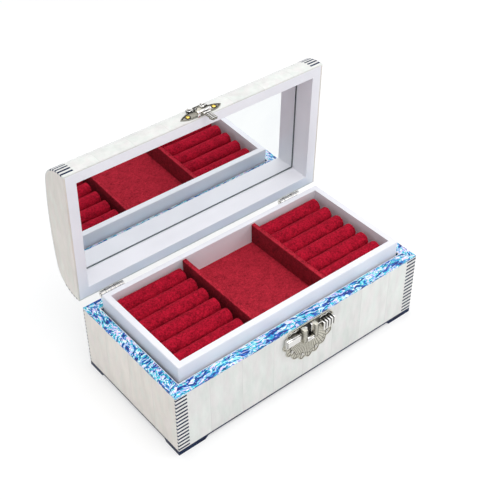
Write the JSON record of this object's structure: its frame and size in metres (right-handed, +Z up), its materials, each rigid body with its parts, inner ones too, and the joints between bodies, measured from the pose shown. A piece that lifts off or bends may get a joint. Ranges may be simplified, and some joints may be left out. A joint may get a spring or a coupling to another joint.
{
  "type": "jewelry chest",
  "caption": "Veneered jewelry chest with a hinged domed lid, a mirror in the lid, a slide-bolt clasp and a lift-out tray with loose ring pads.",
  "frame": {"origin": "on the surface that the chest stands on, at the middle of its footprint", "axes": "+X along the length, to the right as seen from the clasp side; +Y to the hinge side; +Z up"},
  "size_m": [0.24, 0.1582, 0.1893],
  "materials": {
    "core_wood": "raw board, hidden by the sheets on it",
    "white_paint": "board painted satin white",
    "pearl": "polished mother-of-pearl sheet",
    "abalone_bright": "polished bright abalone",
    "abalone_dark": "polished dark abalone",
    "red_velvet": "short-nap velvet over board and foam",
    "mirror_glass": "silvered glass",
    "nickel_plate": "nickel-plated cast and pressed metal",
    "brass_screws": "polished"
  },
  "bodies": {
    "chest": {"front_wall": "core_wood", "back_wall": "core_wood", "left_wall": "core_wood", "right_wall": "core_wood", "bottom_board": "core_wood", "plinth": "abalone_dark", "foot_front_left": "abalone_dark", "foot_front_right": "abalone_dark", "foot_back_left": "abalone_dark", "foot_back_right": "abalone_dark", "pearl_front": "pearl", "pearl_back": "pearl", "pearl_left": "pearl", "pearl_right": "pearl", "corner_inlay_left": "abalone_dark", "corner_inlay_right": "abalone_dark", "rim_front": "abalone_bright", "rim_back": "abalone_bright", "rim_left": "abalone_bright", "rim_right": "abalone_bright", "lining_front": "abalone_dark", "lining_back": "abalone_dark", "lining_left": "abalone_dark", "lining_right": "abalone_dark", "lining_floor": "abalone_dark", "tray_ledges": "abalone_dark", "hinge_box_leaves": "nickel_plate", "hinge_pins": "nickel_plate", "box_screws": "nickel_plate", "clasp_plate": "nickel_plate", "clasp_blocks": "nickel_plate"},
    "lid": {"lid_left_end": "white_paint", "lid_right_end": "white_paint", "lid_front_rail": "white_paint", "lid_back_rail": "white_paint", "lid_dome_core": "white_paint", "lid_dome_pearl": "pearl", "lid_left_pearl": "pearl", "lid_right_pearl": "pearl", "lid_inlay": "abalone_dark", "mirror": "mirror_glass", "hinge_lid_leaves": "nickel_plate", "hasp_plate": "nickel_plate", "hasp_pin": "nickel_plate", "lid_screws": "brass_screws"},
    "hasp": {"hasp_tongue": "nickel_plate", "hasp_eye": "nickel_plate"},
    "slide_bolt": {"slide_bolt": "nickel_plate"},
    "tray": {"tray_front": "white_paint", "tray_back": "white_paint", "tray_left": "white_paint", "tray_right": "white_paint", "tray_bottom": "core_wood", "tray_velvet_floor": "red_velvet", "divider_left": "red_velvet", "divider_right": "red_velvet"},
    "ring_pad_left": {"ring_pad_left": "red_velvet"},
    "ring_pad_right": {"ring_pad_right": "red_velvet"}
  },
  "joints": [
    {"name": "lid_hinge", "type": "hinge", "parent": "chest", "child": "lid", "pos_m": [0, 0.063, 0.0615], "axis": [-1, 0, 0], "range_deg": [-88, 0]},
    {"name": "hasp_swing", "type": "hinge", "parent": "lid", "child": "hasp", "pos_m": [0.002, 0.06068, 0.1881], "axis": [-1, 0, 0], "range_deg": [0, 110]},
    {"name": "bolt_slide", "type": "slide", "parent": "chest", "child": "slide_bolt", "axis": [1, 0, 0], "range_m": [-0.005, 0]},
    {"name": "tray_lift", "type": "slide", "parent": "chest", "child": "tray", "axis": [0, 0, 1], "range_m": [0, 0.07]},
    {"name": "ring_pad_left_lift", "type": "slide", "parent": "tray", "child": "ring_pad_left", "axis": [0, 0, 1], "range_m": [0, 0.03]},
    {"name": "ring_pad_right_lift", "type": "slide", "parent": "tray", "child": "ring_pad_right", "axis": [0, 0, 1], "range_m": [0, 0.03]}
  ]
}
